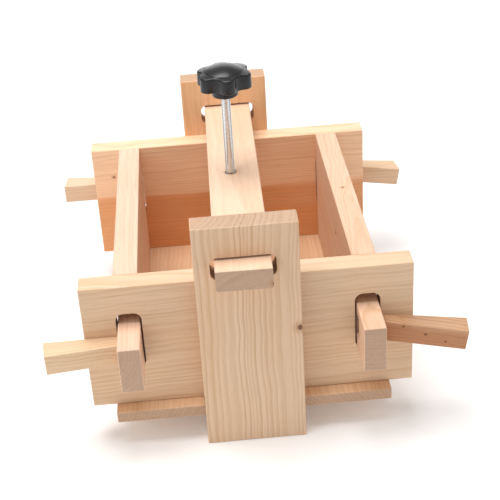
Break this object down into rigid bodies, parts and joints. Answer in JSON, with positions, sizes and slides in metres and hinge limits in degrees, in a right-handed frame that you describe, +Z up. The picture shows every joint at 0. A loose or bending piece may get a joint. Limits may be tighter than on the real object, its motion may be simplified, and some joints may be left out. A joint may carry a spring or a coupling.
{
  "type": "bookbinding press",
  "caption": "Wooden bookbinding press: an open wedged box between slotted uprights, with a loose cross beam and a vertical press screw turned by a star knob.",
  "frame": {"origin": "on the ground, under the middle of the whole press", "axes": "+X to the right along the front board, +Y from the front board to the rear one, +Z up along the press screw"},
  "size_m": [0.431, 0.443, 0.3435],
  "materials": {
    "pine": "bare planed softwood",
    "pine_heartwood": "bare planed softwood, reddish heartwood",
    "zinc_steel": "bright zinc plate",
    "bright_screw_steel": "bright plated thread",
    "black_plastic": "glossy moulded plastic"
  },
  "bodies": {
    "frame": {"front_board": "pine", "rear_board": "pine", "left_wall": "pine", "right_wall": "pine", "base_board": "pine", "base_rail": "pine", "rail_screws": "zinc_steel", "front_upright": "pine", "rear_upright": "pine"},
    "wedge_front_left": {"wedge_front_left": "pine"},
    "wedge_front_right": {"wedge_front_right": "pine_heartwood"},
    "wedge_rear_left": {"wedge_rear_left": "pine"},
    "wedge_rear_right": {"wedge_rear_right": "pine"},
    "beam": {"top_beam": "pine", "tee_nut": "zinc_steel"},
    "foot": {"pressure_foot": "zinc_steel"},
    "screw": {"press_screw": "bright_screw_steel", "star_knob": "black_plastic", "knob_cap": "black_plastic", "foot_clip": "zinc_steel"}
  },
  "joints": [
    {"name": "wedge_front_left_pull", "type": "slide", "parent": "frame", "child": "wedge_front_left", "axis": [-1, 0, 0], "range_m": [0, 0.03]},
    {"name": "wedge_front_right_pull", "type": "slide", "parent": "frame", "child": "wedge_front_right", "axis": [0.9877, 0, -0.1564], "range_m": [0, 0.03]},
    {"name": "wedge_rear_left_pull", "type": "slide", "parent": "frame", "child": "wedge_rear_left", "axis": [-1, 0, 0], "range_m": [0, 0.03]},
    {"name": "wedge_rear_right_pull", "type": "slide", "parent": "frame", "child": "wedge_rear_right", "axis": [0.9877, 0, -0.1564], "range_m": [0, 0.03]},
    {"name": "beam_slide", "type": "slide", "parent": "frame", "child": "beam", "axis": [-0.0177, -0.9998, 0], "range_m": [-0.04, 0.02]},
    {"name": "foot_travel", "type": "slide", "parent": "beam", "child": "foot", "axis": [0, 0, -1], "range_m": [-0.034, 0.089]},
    {"name": "screw_turn", "type": "hinge", "parent": "foot", "child": "screw", "pos_m": [-0.01059, -0.01094, 0.2198], "axis": [0, 0, -1], "range_deg": [-8161, 21361]}
  ],
  "couplings": [
    {"joint": "screw_turn", "follows": "foot_travel", "rad_per_m": 4188.8}
  ]
}
